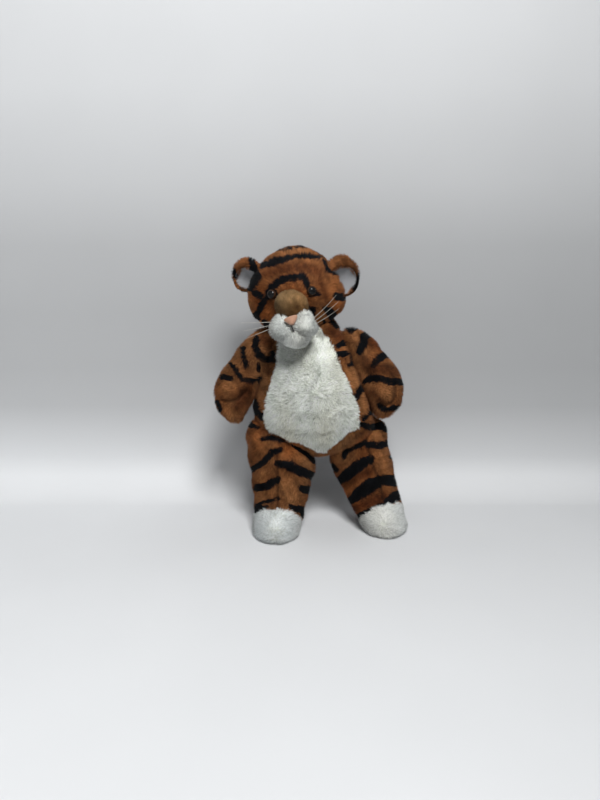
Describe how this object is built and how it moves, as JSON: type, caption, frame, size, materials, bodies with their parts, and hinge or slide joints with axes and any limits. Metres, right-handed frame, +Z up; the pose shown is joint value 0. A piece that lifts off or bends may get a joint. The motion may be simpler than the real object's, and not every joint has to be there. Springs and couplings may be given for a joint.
{
  "type": "plush tiger",
  "caption": "Standing stuffed tiger toy with round head, cupped ears, plastic eyes, white belly panel, stubby arms, wide-set legs and a striped tail.",
  "frame": {"origin": "on the floor, below the middle of the whole object's box", "axes": "+Z up, the face looks along -Y, +X towards the viewer's right when the face is looked at"},
  "size_m": [0.2541, 0.1757, 0.3757],
  "materials": {
    "orange_plush": "orange-brown pile with black stripes",
    "white_plush": "off-white pile",
    "tan_plush": "short tan pile",
    "black_plush": "black pile",
    "ear_lining": "smooth grey-white cloth",
    "nose_velour": "pink velour",
    "eye_plastic": "polished black",
    "washer_plastic": "natural white",
    "whisker_nylon": "pale clear nylon",
    "black_thread": "twisted black thread",
    "fibre_filling": "white polyester fibre"
  },
  "bodies": {
    "torso": {"torso_skin": "orange_plush", "belly_panel": "white_plush", "torso_filling": "fibre_filling"},
    "neck": {"neck_filling": "fibre_filling"},
    "head": {"head_skin": "orange_plush", "head_filling": "fibre_filling", "eye_left": "eye_plastic", "eye_right": "eye_plastic", "eye_washer_left": "washer_plastic", "eye_washer_right": "washer_plastic", "snout_bridge": "tan_plush", "muzzle_left": "white_plush", "muzzle_right": "white_plush", "chin": "white_plush", "nose": "nose_velour", "mouth_stitch": "black_thread", "whisker_left_1": "whisker_nylon", "whisker_left_2": "whisker_nylon", "whisker_left_3": "whisker_nylon", "whisker_right_1": "whisker_nylon", "whisker_right_2": "whisker_nylon", "whisker_right_3": "whisker_nylon", "ear_back_left": "orange_plush", "ear_back_right": "orange_plush", "ear_lining_left": "ear_lining", "ear_lining_right": "ear_lining"},
    "arm_left": {"arm_skin_left": "orange_plush", "arm_filling_left": "fibre_filling"},
    "arm_right": {"arm_skin_right": "orange_plush", "arm_filling_right": "fibre_filling"},
    "leg_left": {"leg_skin_left": "orange_plush", "toe_cap_left": "white_plush", "leg_filling_left": "fibre_filling", "sole_left": "white_plush"},
    "leg_right": {"leg_skin_right": "orange_plush", "toe_cap_right": "white_plush", "leg_filling_right": "fibre_filling", "sole_right": "white_plush"},
    "tail": {"tail_skin": "orange_plush", "tail_tip": "black_plush", "tail_filling": "fibre_filling"}
  },
  "joints": [
    {"name": "head_turn", "type": "hinge", "parent": "torso", "child": "neck", "pos_m": [-0.011, 0, 0.264], "axis": [0, 0, 1], "range_deg": [-35, 35]},
    {"name": "head_nod", "type": "hinge", "parent": "neck", "child": "head", "pos_m": [-0.011, 0, 0.264], "axis": [1, 0, 0], "range_deg": [-12, 8]},
    {"name": "arm_left_swing", "type": "hinge", "parent": "torso", "child": "arm_left", "pos_m": [-0.07502, -0.003, 0.23906], "axis": [-0.9397, 0, 0.342], "range_deg": [-40, 75]},
    {"name": "arm_right_swing", "type": "hinge", "parent": "torso", "child": "arm_right", "pos_m": [0.06435, -0.003, 0.23906], "axis": [-0.9397, 0, -0.342], "range_deg": [-40, 75]},
    {"name": "leg_left_swing", "type": "hinge", "parent": "torso", "child": "leg_left", "pos_m": [-0.0435, -0.003, 0.106], "axis": [-1, 0, 0], "range_deg": [-12, 40]},
    {"name": "leg_right_swing", "type": "hinge", "parent": "torso", "child": "leg_right", "pos_m": [0.0605, 0.014, 0.106], "axis": [-1, 0, 0], "range_deg": [-12, 40]},
    {"name": "tail_sway", "type": "hinge", "parent": "torso", "child": "tail", "pos_m": [0.002, 0.05162, 0.142], "axis": [0, 1, 0], "range_deg": [-30, 60]}
  ]
}
